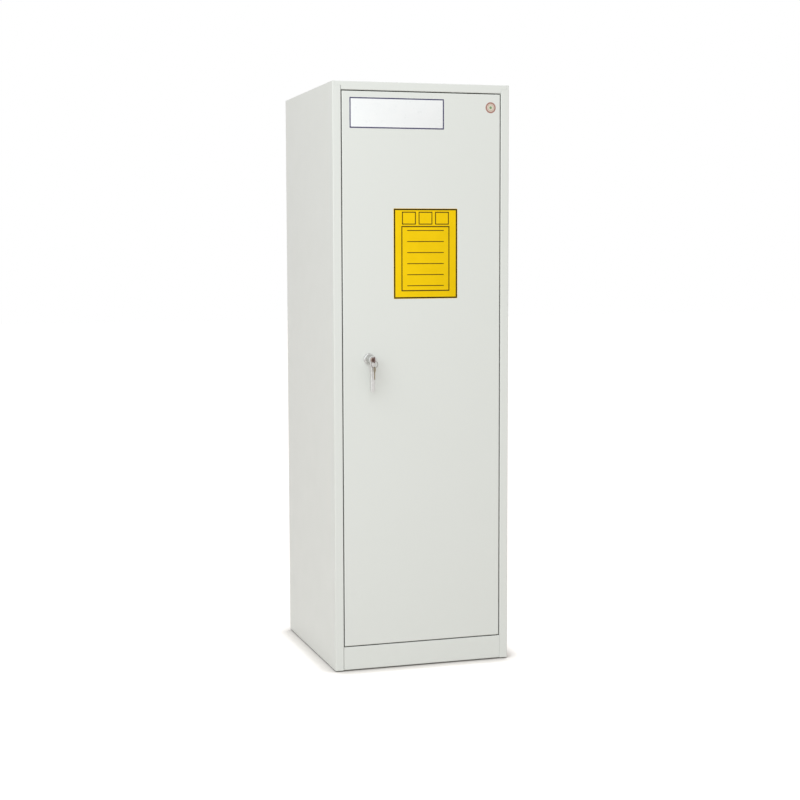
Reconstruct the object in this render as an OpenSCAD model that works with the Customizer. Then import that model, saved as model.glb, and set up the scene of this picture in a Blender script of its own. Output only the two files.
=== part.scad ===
// Tall one-door safety cabinet for bottles of acids, folded and welded from sheet steel.
// Millimetres, +Z up, door facing -Y. The origin is on the floor, under the middle of the whole
// object from the keys in its door to its back.

/* [Body] */
// Width of the body over the side panels
cab_w = 600; // [560:1:900]
// Depth of the body from the front frame to the back flanges
cab_d = 600; // [520:1:750]
// Height from the floor to the roof
cab_h = 1900; // [1820:1:2000]
// Thickness of the steel sheet
sheet = 1.2; // [1:0.1:1.5]
// Inside radius of a fold
bend_r = 2; // [1:0.5:2.5]
// Height of the body's bottom edge above the floor
foot_gap = 4; // [2:1:10]
// Width of the flanges that hold the back panel
back_flange = 20; // [14:1:30]
// Height of the roof's flanges
roof_flange = 20; // [14:1:24]

/* [Front frame] */
// Width of the front frame beside the door
stile_w = 28.5; // [26:0.5:40]
// Height of the front frame above the door
header_h = 27; // [26:0.5:60]
// Height of the plinth below the door, from the floor
plinth_h = 80; // [75:0.5:120]
// Width of the lip behind the door's edges
stop_lip = 16; // [12:1:17]
// Gap between the door and the frame
door_gap = 3; // [2.5:0.5:4]
// Width of the stile's front that runs past the roof's ear
ear_in = 9; // [6:1:14]
// Height of the roof's ear, from the top
ear_drop = 14; // [8:1:20]

/* [Door] */
// Thickness of the door
door_t = 25; // [24:0.5:30]
// Width of the door's rear lips
door_lip = 25; // [24:1:32]
// Width of the stiffening channel inside the door
stiffener_w = 60; // [40:1:80]
// Radius of the pivot pins
pivot_r = 4; // [3:0.5:4.5]
// Distance from the door's edge to the pivot axis
pivot_inset = 12; // [11.5:0.5:14]
// Distance from the door's face to the pivot axis
pivot_depth = 9; // [8.5:0.5:10]

/* [Lock] */
// Distance from the door's free edge to the lock's axis
lock_inset = 86; // [70:1:110]
// Height of the lock's axis above the floor
lock_z = 1019; // [900:1:1080]
// Radius of the rose on the door
rose_r = 18; // [16:0.5:22]
// Thickness of the rose
rose_t = 7; // [5:0.5:10]
// Radius of the lever's hub
hub_r = 12.5; // [11.5:0.5:14]
// Length of the lever's hub
hub_len = 35; // [30:1:40]
// Length of the lever from its axis to its tip
lever_len = 103; // [80:1:130]
// Width of the lever at its tip
lever_w = 15; // [10:0.5:18]
// Thickness of the lever
lever_t = 9; // [6:0.5:12]
// Side of the square spindle
spindle_w = 7; // [6:0.5:8]
// Radius of the lock's plug
plug_r = 6.5; // [5.5:0.5:7.5]
// Radius of the circle that the two cam pins run on
crank_r = 20; // [18:0.5:22]
// Radius of the locking rods
rod_r = 4; // [3:0.5:4.5]
// Distance from the door's face to the middle of the locking rods
rod_depth = 14; // [14:0.5:15]

/* [Keys] */
// Radius of a key's bow
bow_r = 10; // [9:0.5:12]
// Radius of the hole in a key's bow
bow_hole_r = 4; // [3.5:0.1:4.5]
// Thickness of a key
key_t = 2; // [1.6:0.1:2.2]
// Width of a key's blade
blade_w = 7.5; // [6:0.5:8]
// Length of a key's blade
blade_len = 18.5; // [14:0.5:20]
// Radius of the key ring, to the middle of its wire
ring_r = 11; // [10:0.5:14]
// Radius of the key ring's wire
ring_wire_r = 0.8; // [0.6:0.1:1]

/* [Inside] */
// Height of the floor pan's underside
pan_z = 40; // [38:1:50]
// Height of the foot rails under the floor pan
rail_h = 16; // [14:1:18]
// Width of the slotted uprights
upright_w = 25; // [20:1:40]
// Depth of the slotted uprights
upright_d = 10; // [8:1:14]
// Distance between the uprights' slots
slot_pitch = 50; // [44:1:56]
// Slot that the lower shelf hangs in, counted from the bottom
lower_slot = 7; // [3:1:9]
// Slot that the middle shelf hangs in
middle_slot = 16; // [12:1:18]
// Slot that the upper shelf hangs in
upper_slot = 25; // [21:1:27]
// Height of a shelf's raised edge
shelf_edge = 30; // [15:1:45]
// Gap between a shelf's end and the uprights
shelf_gap = 9; // [4:1:14]
// Distance from the front frame to the shelves
shelf_front = 44; // [20:1:80]
// Distance from the back panel to the shelves
shelf_back = 27; // [10:1:40]
// Height of the plastic spill tray
tray_h = 45; // [30:1:52]
// Gap round the spill tray
tray_gap = 6; // [3:1:12]

/* [Labels] */
// Width of the blank name plate
plate_w = 318; // [100:1:340]
// Height of the blank name plate
plate_h = 97; // [40:1:110]
// Distance from the door's middle to the name plate's middle
plate_x = -85; // [-90:1:-20]
// Distance from the door's top edge to the name plate
plate_drop = 19.5; // [10:0.5:60]
// Width of the contents card
card_w = 218; // [100:1:260]
// Height of the contents card
card_h = 290; // [100:1:320]
// Distance from the door's middle to the card's middle
card_x = 11; // [-40:1:60]
// Distance from the door's top edge to the card
card_drop = 369; // [160:1:420]
// Radius of the round badge
badge_r = 18; // [10:0.5:22]
// Distance from the door's right edge to the badge's middle
badge_side = 33.5; // [26:0.5:60]
// Distance from the door's top edge to the badge's middle
badge_drop = 43; // [26:0.5:80]

/* [Hidden] */

// Fits and clearances
fit = 0.2;        // between pieces that lie against each other
running = 0.05;   // on radius, round a shaft
seat = 0.3;       // between pieces that meet and then move apart
through = 1;      // how far a cut runs past a face
bend_steps = 6;   // facets of a fold
$fn = 48;

// Colours
paint = [0.87, 0.88, 0.86];
zinc = [0.72, 0.73, 0.74];
chrome = [0.83, 0.83, 0.84];
brass = [0.78, 0.66, 0.38];
nylon = [0.92, 0.92, 0.9];
rubber = [0.12, 0.12, 0.12];
plastic = [0.33, 0.35, 0.37];

// Lock and keys, measured inwards from the door's face
rose_gap = 0.3;
shank_r = 10;
shank_end = 7;
spigot_r = 8;
nut_t = 4.5;
nut_r = 15.5;
cam_at = 7.5;
cam_t = 3;
cam_rim = 8;                                // the cam's edge beyond its pins
cam_pin_r = 3;
yoke_at = cam_at + cam_t + 0.5;
yoke_t = 3;
yoke_wall = 4;
yoke_bar = 14;
crank_slack = 0.9;                          // the yokes run straight, the pins on a circle
crank_z = crank_r * sin(45);
rod_start = crank_r + cam_rim + 8;
rod_tip = 3;                                // the rods' ends lie this far inside the door
spindle_end = cam_at + cam_t + 5.5;
guide_w = 26;
guide_h = 30;
guide_end = rod_depth + 6;
guide_inset = 40;
keeper_play = 3;
hub_front = -rose_t - rose_gap - hub_len;
hub_flare = 3;
plug_len = 21;
plug_rim = 0.8;
keyway_w = key_t + 2 * fit;
key_gap = 2.5;                              // from the plug's rim to the key's bow
hole_offset = 3;                            // from the middle of a key's bow to its hole
tooth_pitch = 3;
bow_at = hub_front - plug_rim - key_gap - bow_r;
hole_at = bow_at - hole_offset;
reach = bow_r - hole_at;                    // how far the spare key stands out of the door

// Front frame and door
front_y = (reach - cab_d) / 2;
back_y = front_y + cab_d;
open_x = cab_w / 2 - stile_w;
open_top = cab_h - header_h;
open_bottom = plinth_h;
swing_back = norm([pivot_inset, door_t - pivot_depth]) - (door_t - pivot_depth);
stop_gap = swing_back + 1;                  // the door's rear corner swings back into this
lip_end = front_y + door_t + stop_gap + sheet;
back_face = back_y - 2 * sheet;             // inner face of the back panel
wall_x = cab_w / 2 - sheet;                 // inner face of a side panel
ear_x = cab_w / 2 - ear_in;
door_x = open_x - door_gap;
door_top = open_top - door_gap;
door_bottom = open_bottom + door_gap;
door_h = door_top - door_bottom;
door_mid = (door_top + door_bottom) / 2;
door_back = front_y + door_t;
lock_x = -door_x + lock_inset;

// Inner panel of the door
screw_r = 2;
screw_head_r = 3.6;
panel_overlap = 8;
panel_x = door_x - door_lip + panel_overlap;
panel_z = door_h / 2 - door_lip + panel_overlap;

// Pivots
pivot_x = door_x - pivot_inset;
pivot_y = front_y + pivot_depth;
bracket_t = 3;
bracket_in = 24;
bracket_out = 14;
pin_head_r = pivot_r + 2.5;
pin_head_t = 3;
pin_reach = 16;                             // length of a pin inside the door
bush_wall = 1.2;
bush_flange = 1.5;
bush_rim = 1;
plate_t = 3;
pivot_plate_d = 15;

// Floor and feet
pan_lap = 5;                                // the floor pan's edge behind the plinth's lip
pan_top = plinth_h + pan_lap;
rail_w = 54;
rail_flange = 12;
rail_inset = 8;
rail_z = pan_z - rail_h;                    // underside of a rail
foot_inset = 55;
foot_x = cab_w / 2 - foot_inset;
foot_y = [front_y + foot_inset, back_y - foot_inset];
stud_r = 5;
pad_r = 20;
pad_t = 8;
hex_r = 9.8;
weld_nut_t = 8;
lock_nut_t = 6;

// Shelves
upright_face = wall_x - upright_d;          // face that carries the slots
upright_bottom = 120;
upright_top = cab_h - 60;
slot_w = 4;
slot_h = 13;
first_slot = 30;
shelf_x = upright_face - shelf_gap;
shelf_y = [lip_end + shelf_front, back_face - shelf_back];
upright_inset = 45;
upright_y = [shelf_y[0] + upright_inset, shelf_y[1] - upright_inset];
clip_t = 3;
clip_h = 10;
clip_reach = 18;
clip_hook = 2.5;
clip_drop = 2;

// Ventilation and wall fixings in the back
vent_w = 70;
vent_h = 4;
vent_pitch_x = 90;
vent_pitch_z = 12;
vent_rows = 4;
vent_columns = 4;
vent_margin = 220;
fixing_r = 4.5;
fixing_span = 400;
fixing_drop = 160;

label_t = 0.6;
buffer_r = 5;
buffer_inset = 60;
tray_wall = 3;
tray_corner = 12;

// ---------- Folded sheet ----------

function unit(v) = v / norm(v);
function left_of(v) = [-v[1], v[0]];
function reversed(list) = [for (i = [len(list) - 1:-1:0]) list[i]];

// Points on one side (1 left, -1 right) of a sheet that runs from a to b and folds there to c
function fold_points(a, b, c, side) =
    let (
        d1 = unit(b - a),
        d2 = unit(c - b),
        way = sign(d1[0] * d2[1] - d1[1] * d2[0]),
        angle = acos(d1 * d2),
        middle_r = bend_r + sheet / 2,
        centre = b - d1 * middle_r * tan(angle / 2) + left_of(d1) * way * middle_r,
        first = -way * left_of(d1),
        start = atan2(first[1], first[0]),
        r = middle_r - side * way * sheet / 2
    )
    [for (i = [0:bend_steps]) let (turn = start + way * angle * i / bend_steps)
        centre + r * [cos(turn), sin(turn)]];

function sheet_side(path, side) =
    let (last = len(path) - 1)
    concat(
        [path[0] + left_of(unit(path[1] - path[0])) * side * sheet / 2],
        [for (i = [1:last - 1]) each fold_points(path[i - 1], path[i], path[i + 1], side)],
        [path[last] + left_of(unit(path[last] - path[last - 1])) * side * sheet / 2]
    );

// Cross-section of a folded sheet whose middle follows the path
module folded(path) {
    polygon(concat(sheet_side(path, 1), reversed(sheet_side(path, -1))));
}

// Extrudes a (y, z) outline along X, about the middle
module along_x(length) {
    rotate([90, 0, 90]) linear_extrude(length, center = true) children();
}

// Extrudes an (x, z) outline from one y to another
module along_y(from, to) {
    translate([0, to, 0]) rotate([90, 0, 0]) linear_extrude(to - from) children();
}

// Box from its lowest to its highest corner
module block(low, high) {
    translate(low) cube(high - low);
}

module both_sides() {
    children();
    mirror([1, 0, 0]) children();
}

// Rectangle with rounded corners
module rounded(low, high, r) {
    translate([low[0] + r, low[1]]) square([high[0] - low[0] - 2 * r, high[1] - low[1]]);
    translate([low[0], low[1] + r]) square([high[0] - low[0], high[1] - low[1] - 2 * r]);
    for (x = [low[0] + r, high[0] - r], y = [low[1] + r, high[1] - r])
        translate([x, y]) circle(r);
}

// Open pan between two corners, welded from sheet
module pan(low, high) {
    color(paint) difference() {
        block(low, high);
        block(low + [sheet, sheet, sheet], high + [-sheet, -sheet, through]);
    }
}

// Round bar along Y, from one depth behind the door's face to another
module turned(r, from, to) {
    translate([0, front_y + from, 0]) rotate([-90, 0, 0]) cylinder(r = r, h = to - from);
}

module at_lock() {
    translate([lock_x, 0, lock_z]) children();
}

// ---------- Body ----------

// Side wall, front stile, rebate, stop lip and back flange folded from one sheet, with a plate
// welded across the hollow stile, level with the floor pan
module side_panel() {
    color(paint) {
        difference() {
            translate([0, 0, foot_gap]) linear_extrude(cab_h - foot_gap) folded([
                [-open_x + stop_lip, lip_end - sheet / 2],
                [-open_x - sheet / 2, lip_end - sheet / 2],
                [-open_x - sheet / 2, front_y + sheet / 2],
                [-cab_w / 2 + sheet / 2, front_y + sheet / 2],
                [-cab_w / 2 + sheet / 2, back_y - sheet / 2],
                [-cab_w / 2 + back_flange, back_y - sheet / 2],
            ]);
            // The stop lip ends where the header and the plinth begin
            for (z = [[0, open_bottom], [open_top, cab_h + through]])
                block([-open_x, front_y - through, z[0]], [0, lip_end + through, z[1]]);
            // The roof's ear takes the place of the stile's front, and the roof runs over the rebate
            block([-ear_x, front_y - through, cab_h - ear_drop - fit],
                  [0, front_y + sheet + bend_r + fit, cab_h + through]);
            block([-ear_x, front_y - through, cab_h - sheet - fit], [0, lip_end + through, cab_h + through]);
        }
        block([-wall_x - sheet / 2, front_y + sheet + bend_r, pan_z],
              [-open_x - sheet / 2, lip_end, pan_z + sheet]);
    }
}

module left_side_panel() side_panel();
module right_side_panel() mirror([1, 0, 0]) side_panel();

module back_panel() {
    width = 2 * (wall_x - bend_r - fit);
    color(paint) difference() {
        block([-width / 2, back_face, foot_gap], [width / 2, back_face + sheet, cab_h]);
        for (low = [pan_top + vent_margin / 4, cab_h - vent_margin],
             row = [0:vent_rows - 1], column = [0:vent_columns - 1])
            translate([(column - (vent_columns - 1) / 2) * vent_pitch_x, back_face, low + row * vent_pitch_z])
                cube([vent_w, 4 * sheet, vent_h], center = true);
        for (side = [-1, 1])
            translate([side * fixing_span / 2, back_face - through, cab_h - fixing_drop])
                rotate([-90, 0, 0]) cylinder(r = fixing_r, h = sheet + 2 * through);
    }
}

// Holes through a rebate, for a locking rod and for a pivot pin
module rebate_holes(z) {
    translate([lock_x, front_y + rod_depth, z - sheet - through])
        cylinder(r = rod_r + keeper_play, h = 2 * sheet + 2 * through);
    translate([pivot_x, pivot_y, z - sheet - through])
        cylinder(r = pivot_r + fit, h = 2 * sheet + 2 * through);
}

// Room for the stiles' lips at the ends of a lip above or below the door
module lip_ends(low, high) {
    both_sides() block([open_x - stop_lip, lip_end - sheet - bend_r, low],
                       [open_x + through, lip_end + through, high]);
}

// Roof, header, rebate and stop lip folded from one sheet, with flanges inside the side walls
module roof_panel() {
    rear = back_face - fit - sheet / 2;
    top = cab_h - sheet / 2;
    wall = wall_x - fit - sheet / 2;
    low = cab_h - roof_flange;
    color(paint) difference() {
        union() {
            along_x(2 * open_x) folded([
                [lip_end - sheet / 2, open_top - stop_lip],
                [lip_end - sheet / 2, open_top + sheet / 2],
                [front_y + sheet / 2, open_top + sheet / 2],
                [front_y + sheet / 2, top],
                [rear, top],
                [rear, low],
            ]);
            along_x(2 * (ear_x - fit)) folded([
                [front_y + sheet / 2, cab_h - ear_drop],
                [front_y + sheet / 2, top],
                [lip_end, top],
            ]);
            both_sides() along_y(front_y + sheet + fit, rear - bend_r - sheet / 2)
                folded([[open_x - through, top], [wall, top], [wall, low]]);
        }
        lip_ends(open_top - stop_lip - through, open_top);
        rebate_holes(open_top);
        both_sides() {
            // The stile's front and its rounded corner run up past the roof
            block([ear_x - fit, front_y - through, low - through],
                  [wall_x + through, front_y + sheet + fit, cab_h + through]);
            block([wall_x - bend_r - fit, front_y, low - through],
                  [wall_x + through, front_y + sheet + bend_r + fit, cab_h + through]);
        }
    }
}

// Plinth between the stiles, with the rebate and stop lip below the door
module plinth_rail() {
    color(paint) difference() {
        along_x(2 * open_x) folded([
            [lip_end - sheet / 2, open_bottom + stop_lip],
            [lip_end - sheet / 2, open_bottom - sheet / 2],
            [front_y + sheet / 2, open_bottom - sheet / 2],
            [front_y + sheet / 2, foot_gap + sheet / 2],
            [front_y + roof_flange, foot_gap + sheet / 2],
        ]);
        lip_ends(open_bottom, open_bottom + stop_lip + through);
        rebate_holes(open_bottom);
    }
}

// Pan that keeps a spill behind the plinth's lip
module floor_pan() {
    pan([-wall_x + fit, lip_end + fit, pan_z], [wall_x - fit, back_face - fit, pan_top]);
}

// Moulded tray with rounded upright corners
module spill_tray() {
    low = [-wall_x + tray_gap, lip_end + tray_gap];
    high = [wall_x - tray_gap, back_face - tray_gap];
    wall = [tray_wall, tray_wall];
    color(plastic) translate([0, 0, pan_z + sheet]) difference() {
        linear_extrude(tray_h) rounded(low, high, tray_corner);
        translate([0, 0, tray_wall]) linear_extrude(tray_h)
            rounded(low + wall, high - wall, tray_corner - tray_wall);
    }
}

// ---------- Feet ----------

module at_feet() {
    for (x = [-foot_x, foot_x], y = foot_y) translate([x, y, 0]) children();
}

// Channels under the floor pan, each with two welded nuts
module foot_rails() {
    web = rail_z + sheet / 2;
    flange = pan_z - sheet / 2;
    inner = foot_x - rail_w / 2;
    outer = foot_x + rail_w / 2;
    color(paint) difference() {
        union() {
            both_sides() along_y(lip_end + rail_inset, back_face - rail_inset) folded([
                [inner - rail_flange, flange],
                [inner, flange],
                [inner, web],
                [outer, web],
                [outer, flange],
                [outer + rail_flange, flange],
            ]);
            at_feet() translate([0, 0, rail_z + sheet]) cylinder(r = hex_r, h = weld_nut_t, $fn = 6);
        }
        at_feet() cylinder(r = stud_r + running, h = pan_z);
    }
}

module levelling_feet() {
    color(zinc) at_feet() {
        cylinder(r = pad_r, h = pad_t / 2);
        translate([0, 0, pad_t / 2]) cylinder(r1 = pad_r, r2 = pad_r / 2, h = pad_t / 2);
        cylinder(r = stud_r, h = rail_z + sheet + weld_nut_t + 2);
    }
}

module foot_lock_nuts() {
    color(zinc) at_feet() difference() {
        translate([0, 0, rail_z - lock_nut_t]) cylinder(r = hex_r, h = lock_nut_t, $fn = 6);
        cylinder(r = stud_r + running, h = pan_z);
    }
}

// ---------- Shelves ----------

function slot_z(number) = upright_bottom + first_slot + number * slot_pitch;
function clip_z(number) = slot_z(number) - slot_h / 2;
function shelf_z(number) = clip_z(number) + clip_h;

module upright(y) {
    count = floor((upright_top - upright_bottom - 2 * first_slot) / slot_pitch);
    face = upright_face + sheet / 2;
    edge = (upright_w - sheet) / 2;
    color(paint) translate([0, y, 0]) difference() {
        translate([0, 0, upright_bottom]) linear_extrude(upright_top - upright_bottom)
            folded([[-wall_x, -edge], [-face, -edge], [-face, edge], [-wall_x, edge]]);
        for (i = [0:count]) translate([-face, 0, slot_z(i)])
            cube([4 * sheet, slot_w, slot_h], center = true);
    }
}

// Four hooks in one row of slots, for one shelf
module shelf_clips(number) {
    z = clip_z(number);
    behind = -upright_face - sheet - fit;
    color(zinc) both_sides() for (y = upright_y) {
        block([behind, y - clip_t / 2, z], [-shelf_x + clip_reach, y + clip_t / 2, z + clip_h]);
        block([behind - clip_hook, y - clip_t / 2, z - clip_drop], [behind, y + clip_t / 2, z + clip_h]);
    }
}

module shelf(number) {
    z = shelf_z(number);
    pan([-shelf_x, shelf_y[0], z], [shelf_x, shelf_y[1], z + shelf_edge]);
}

// ---------- Pivots ----------

// The pivot's pieces are drawn for the top, and turned over about the doorway's middle for the bottom
module turned_over() {
    translate([0, 0, open_top + open_bottom]) mirror([0, 0, 1]) children();
}

module pivot_bracket() {
    z = open_top + sheet;
    color(zinc) difference() {
        block([pivot_x - bracket_in, front_y + sheet + bend_r, z],
              [min(pivot_x + bracket_out, open_x - fit), lip_end - sheet - bend_r, z + bracket_t]);
        translate([pivot_x, pivot_y, z - through])
            cylinder(r = pivot_r + running, h = bracket_t + 2 * through);
    }
}

module pivot_pin() {
    z = open_top + sheet + bracket_t;
    color(zinc) translate([pivot_x, pivot_y, 0]) {
        translate([0, 0, z]) cylinder(r = pin_head_r, h = pin_head_t);
        translate([0, 0, door_top - pin_reach]) cylinder(r = pivot_r, h = z - door_top + pin_reach + 1);
    }
}

// Washer between the plinth's rebate and the door's lower bush
module pivot_washer() {
    color(nylon) translate([pivot_x, pivot_y, open_bottom]) difference() {
        cylinder(r = pivot_r + bush_wall + bush_rim, h = door_gap - seat - bush_flange);
        translate([0, 0, -through]) cylinder(r = pivot_r + running, h = door_gap + 2 * through);
    }
}

module pivot_bush() {
    color(nylon) translate([pivot_x, pivot_y, door_top]) difference() {
        union() {
            cylinder(r = pivot_r + bush_wall + bush_rim, h = bush_flange);
            translate([0, 0, -pin_reach]) cylinder(r = pivot_r + bush_wall, h = pin_reach);
        }
        translate([0, 0, -pin_reach - through])
            cylinder(r = pivot_r + running, h = pin_reach + bush_flange + 2 * through);
    }
}

// Plate inside the door's edge that holds the bush
module pivot_plate() {
    z = door_top - sheet;
    start = front_y + sheet + bend_r;
    color(zinc) difference() {
        block([pivot_x - bracket_in, start, z - plate_t], [door_x - sheet, start + pivot_plate_d, z]);
        translate([pivot_x, pivot_y, z - plate_t - through])
            cylinder(r = pivot_r + bush_wall + running, h = plate_t + 2 * through);
    }
}

module door_buffers() {
    color(rubber) for (z = [door_bottom + buffer_inset, door_mid, door_top - buffer_inset])
        translate([-open_x + stop_lip / 2 + 1, door_back + seat, z]) rotate([-90, 0, 0])
            cylinder(r = buffer_r, h = lip_end - sheet - door_back - seat);
}

// ---------- Door ----------

// Rectangle with its two corners at the front rounded
module front_rounded(half_w, start, end, r) {
    translate([-half_w, start + r]) square([2 * half_w, end - start - r]);
    translate([-half_w + r, start]) square([2 * (half_w - r), end - start]);
    for (side = [-1, 1]) translate([side * (half_w - r), start + r]) circle(r);
}

// Slab with its front edges rounded, inset from the door's outside by a wall
module door_block(inset, r) {
    x = door_x - inset;
    z = door_h / 2 - inset;
    start = front_y + inset;
    end = door_back - inset;
    translate([0, 0, door_mid]) intersection() {
        linear_extrude(2 * z, center = true) front_rounded(x, start, end, r);
        rotate([0, 90, 0]) linear_extrude(2 * x, center = true) front_rounded(z, start, end, r);
    }
}

module panel_screw_places() {
    for (side = [-1, 1], step = [-2:2])
        translate([side * (panel_x - panel_overlap / 2), 0, door_mid + step * (panel_z - 20) / 2])
            children();
}

// Front, edges and rear lips folded from one sheet
module door_skin() {
    color(paint) difference() {
        door_block(0, bend_r + sheet);
        door_block(sheet, bend_r);
        block([-door_x + door_lip, door_back - 2 * sheet, door_bottom + door_lip],
              [door_x - door_lip, door_back + through, door_top - door_lip]);
        at_lock() turned(shank_r + fit, -through, sheet + through);
        for (z = [door_bottom, door_top - sheet]) {
            translate([lock_x, front_y + rod_depth, z - through])
                cylinder(r = rod_r + 1, h = sheet + 2 * through);
            translate([pivot_x, pivot_y, z - through])
                cylinder(r = pivot_r + bush_wall + fit, h = sheet + 2 * through);
        }
        panel_screw_places() turned(screw_r, door_t - 2 * sheet, door_t + through);
    }
}

module door_inner_panel() {
    color(paint) difference() {
        block([-panel_x, door_back, door_mid - panel_z], [panel_x, door_back + sheet, door_mid + panel_z]);
        panel_screw_places() turned(screw_r, door_t - through, door_t + sheet + through);
    }
}

module inner_panel_screws() {
    color(zinc) panel_screw_places() {
        turned(screw_r - running, door_t - 6, door_t + sheet);
        turned(screw_head_r, door_t + sheet, door_t + sheet + 1.4);
    }
}

// Hat channel glued to the back of the skin
module door_stiffener() {
    edge = stiffener_w / 2;
    web = front_y + sheet * 1.5;
    crown = door_back - sheet * 1.5 - fit;
    height = door_h - 2 * (sheet + bend_r + fit);
    color(paint) translate([edge, 0, door_mid]) linear_extrude(height, center = true) folded([
        [-edge, web],
        [-edge / 2, web],
        [-edge / 2, crown],
        [edge / 2, crown],
        [edge / 2, web],
        [edge, web],
    ]);
}

// ---------- Labels ----------

module label(w, h, x, drop) {
    translate([x - w / 2, front_y - label_t, door_top - drop - h]) cube([w, label_t, h]);
}

module name_plate() color("white") label(plate_w, plate_h, plate_x, plate_drop);
module contents_card() color([0.98, 0.8, 0.03]) label(card_w, card_h, card_x, card_drop);

module round_badge() {
    color([0.75, 0.68, 0.6]) translate([door_x - badge_side, 0, door_top - badge_drop])
        turned(badge_r, -label_t, 0);
}

// ---------- Lock ----------

module handle_rose() {
    edge = 2;
    color(chrome) at_lock() difference() {
        union() {
            turned(rose_r, -rose_t + edge, 0);
            translate([0, front_y - rose_t, 0]) rotate([-90, 0, 0])
                cylinder(r1 = rose_r - edge, r2 = rose_r, h = edge);
            turned(shank_r, -1, shank_end);
        }
        turned(spigot_r + running, -rose_t - through, shank_end + through);
    }
}

module lock_nut() {
    color(zinc) at_lock() difference() {
        translate([0, front_y + sheet, 0]) rotate([-90, 0, 0]) cylinder(r = nut_r, h = nut_t, $fn = 6);
        turned(shank_r + running, 0, sheet + nut_t + through);
    }
}

// Outline of the lever, hanging down from its hub
module lever_outline() {
    tip_r = lever_w / 2;
    tip = -lever_len + tip_r;
    neck = hub_r * 0.8;
    circle(hub_r);
    translate([0, tip]) circle(tip_r);
    polygon([
        [-neck, -hub_r * 0.6],
        [neck, -hub_r * 0.6],
        [tip_r, -2 * hub_r],
        [tip_r, tip],
        [-tip_r, tip],
        [-tip_r, -2 * hub_r],
    ]);
}

// Cube on the lock's axis, between two depths behind the door's face
module square_bar(w, h, from, to) {
    block([-w / 2, front_y + from, -h / 2], [w / 2, front_y + to, h / 2]);
}

module lever_handle() {
    hub_end = -rose_t - rose_gap;
    flare = 2 * hub_flare;
    color(chrome) at_lock() difference() {
        union() {
            turned(hub_r, hub_front, hub_end);
            translate([0, front_y + hub_end - flare, 0]) rotate([-90, 0, 0])
                cylinder(r1 = hub_r, r2 = hub_r + hub_flare, h = flare);
            turned(spigot_r, hub_end - 1, shank_end);
            along_y(front_y + hub_front, front_y + hub_front + lever_t) lever_outline();
        }
        turned(plug_r + running, hub_front - through, hub_front + plug_len);
        square_bar(spindle_w + fit, spindle_w + fit, hub_front + plug_len - through, shank_end + through);
    }
}

module handle_spindle() {
    color(zinc) at_lock() square_bar(spindle_w, spindle_w, hub_front + plug_len + fit, spindle_end);
}

module crank_pin_places() {
    for (turn = [-45, 135]) translate([crank_r * cos(turn), 0, crank_r * sin(turn)]) children();
}

// Disc on the spindle whose two pins drive the rods
module rod_cam() {
    color(zinc) at_lock() difference() {
        union() {
            turned(crank_r + cam_rim, cam_at, cam_at + cam_t);
            crank_pin_places() turned(cam_pin_r, cam_at + cam_t / 2, yoke_at + yoke_t + 1);
        }
        square_bar(spindle_w + fit, spindle_w + fit, cam_at - through, cam_at + cam_t + through);
    }
}

module cam_screw() {
    color(zinc) at_lock() {
        turned(spindle_w / 2 + 2.5, spindle_end, spindle_end + 1);
        turned(spindle_w / 2, spindle_end + 1, spindle_end + 3.5);
    }
}

// Rod that stands up from its yoke, drawn about the lock's axis
module rod(length) {
    left = crank_z - cam_pin_r;
    right = crank_r + cam_pin_r;
    low = -crank_z - cam_pin_r - crank_slack;
    high = -crank_z + cam_pin_r + crank_slack;
    from = front_y + yoke_at;
    to = from + yoke_t;
    difference() {
        block([left - yoke_wall, from, low - yoke_wall], [right + yoke_wall, to, rod_start + yoke_bar]);
        block([left - crank_slack, from - through, low], [right + crank_slack, to + through, high]);
    }
    block([-rod_r, from, rod_start], [right, to, rod_start + yoke_bar]);
    translate([0, front_y + rod_depth, rod_start]) cylinder(r = rod_r, h = length - rod_start);
}

module upper_rod() color(zinc) at_lock() rod(door_top - rod_tip - lock_z);
module lower_rod() color(zinc) at_lock() rotate([0, 180, 0]) rod(lock_z - door_bottom - rod_tip);

// Block on the back of the skin that a rod slides through
module rod_guide(z) {
    color(nylon) translate([lock_x, 0, z]) difference() {
        block([-guide_w / 2, front_y + sheet, -guide_h / 2], [guide_w / 2, front_y + guide_end, guide_h / 2]);
        translate([0, front_y + rod_depth, -guide_h]) cylinder(r = rod_r + 2 * running, h = 2 * guide_h);
    }
}

module lock_plug() {
    color(brass) at_lock() difference() {
        union() {
            turned(plug_r, hub_front, hub_front + plug_len - fit);
            turned(plug_r + 1.2, hub_front - plug_rim, hub_front);
        }
        square_bar(keyway_w, blade_w + 2 * fit, hub_front - plug_rim - through, hub_front + blade_len + fit);
    }
}

// ---------- Keys ----------

// Outline of a key, its bow round the origin and its blade along +X
module key_outline() {
    shoulder = bow_r + key_gap + plug_rim;
    tip = shoulder + blade_len;
    edge = blade_w / 2;
    teeth = floor((blade_len - 2) / tooth_pitch);
    difference() {
        union() {
            circle(bow_r);
            translate([0, -edge]) square([shoulder, blade_w]);
            polygon([
                [bow_r, -edge],
                [tip - 2, -edge],
                [tip, 2 - edge],
                [tip, 0],
                for (i = [0:teeth - 1]) each [
                    [tip - 1 - i * tooth_pitch, edge - 1 - 1.2 * (i % 2)],
                    [tip - 2.5 - i * tooth_pitch, edge - 2.6 + 0.8 * (i % 2)],
                ],
                [shoulder, edge],
                [bow_r, edge],
            ]);
        }
        translate([-hole_offset, 0]) circle(bow_hole_r);
    }
}

module key() {
    rotate([90, 0, 90]) linear_extrude(key_t, center = true) key_outline();
}

module lock_key() {
    color(chrome) at_lock() translate([0, front_y + bow_at, 0]) key();
}

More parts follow.
